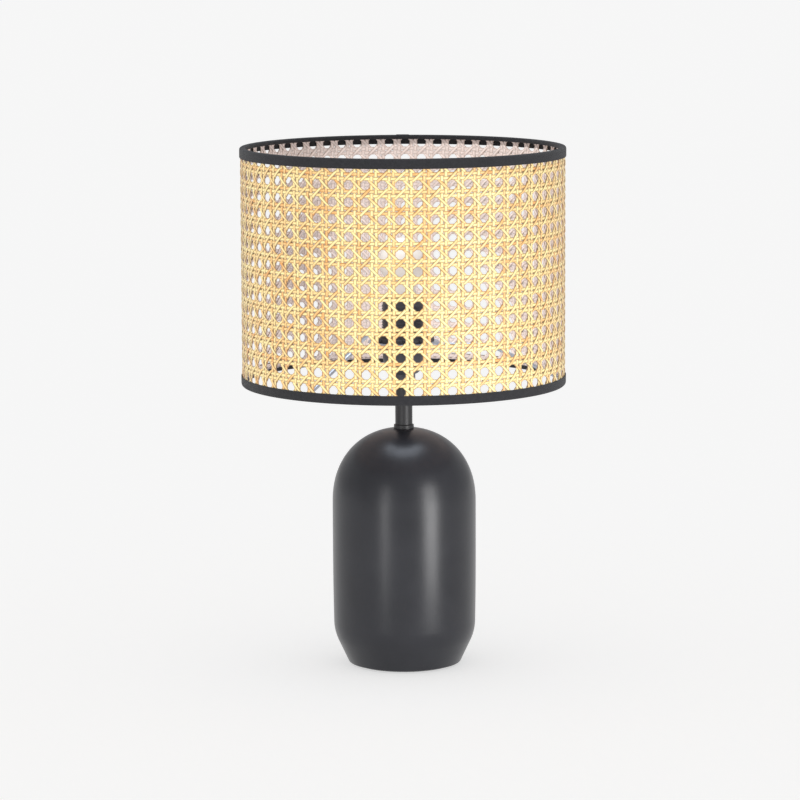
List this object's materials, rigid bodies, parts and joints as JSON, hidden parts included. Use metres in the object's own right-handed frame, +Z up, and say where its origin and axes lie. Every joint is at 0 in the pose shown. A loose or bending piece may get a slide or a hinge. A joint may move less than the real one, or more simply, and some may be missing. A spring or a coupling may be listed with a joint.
{
  "type": "table lamp with shade",
  "caption": "Table lamp with a capsule-shaped turned base, a short stem and a cylindrical woven cane drum shade held by a wire fitter on a screw lampholder.",
  "frame": {"origin": "centre of the round foot, on the table surface", "axes": "+Z up along the stem, +Y to the rear where the cord goes in, +X to the right seen from the front"},
  "size_m": [0.3012, 0.3012, 0.484],
  "materials": {
    "base_lacquer": "satin black lacquer on turned hardwood",
    "foot_felt": "black felt",
    "black_metal": "satin black powder coat",
    "black_plastic": "moulded, fine grain",
    "zinc_steel": "zinc plated",
    "brass": "bright stamped",
    "insulator": "pressed cream thermoset",
    "solder": "tinned",
    "nickel": "nickel plated brass",
    "black_glass": "fused black glass",
    "opal_glass": "opal coated glass, not see-through",
    "clear_glass": "clear",
    "led_yellow": "phosphor coated",
    "board_green": "solder masked board",
    "cane": "natural rattan cane, satin skin",
    "trim_fabric": "black cotton bias tape"
  },
  "bodies": {
    "stand": {"foot_pad": "foot_felt", "base_body": "base_lacquer", "rod_washer": "zinc_steel", "lock_washer": "zinc_steel", "rod_nut": "brass", "threaded_rod": "zinc_steel", "cord_grommet": "black_plastic", "stem_collar": "black_metal", "stem_tube": "black_metal", "holder_cap": "black_plastic", "cap_bush": "brass", "cap_lock_screw": "zinc_steel", "holder_skirt": "black_plastic", "holder_core": "insulator", "screw_shell": "brass", "contact_straps": "brass", "terminal_clamps": "brass", "terminal_screws": "zinc_steel"},
    "contact": {"centre_contact": "brass"},
    "bulb": {"bulb_tip": "solder", "bulb_insulator": "black_glass", "bulb_cap": "nickel", "bulb_globe": "opal_glass", "bulb_stem": "clear_glass", "led_filaments": "led_yellow", "driver_board": "board_green"},
    "ring": {"shade_ring": "black_plastic"},
    "shade": {"fitter_ring": "zinc_steel", "fitter_arms": "zinc_steel", "bottom_wire_ring": "zinc_steel", "top_wire_ring": "zinc_steel", "cane_webbing": "cane", "webbing_seam": "cane", "bottom_trim": "trim_fabric", "top_trim": "trim_fabric"}
  },
  "joints": [
    {"name": "shade_turn", "type": "hinge", "parent": "stand", "child": "shade", "pos_m": [0, 0, 0.302], "axis": [0, 0, 1], "continuous": true},
    {"name": "ring_turn", "type": "hinge", "parent": "stand", "child": "ring", "pos_m": [0, 0, 0.3035], "axis": [0, 0, 1], "continuous": true},
    {"name": "bulb_turn", "type": "hinge", "parent": "stand", "child": "bulb", "pos_m": [0, 0, 0.335], "axis": [0, 0, 1], "continuous": true},
    {"name": "contact_press", "type": "slide", "parent": "stand", "child": "contact", "axis": [0, 0, -1], "range_m": [0, 0.0012], "stiffness_N_per_m": 1500}
  ]
}
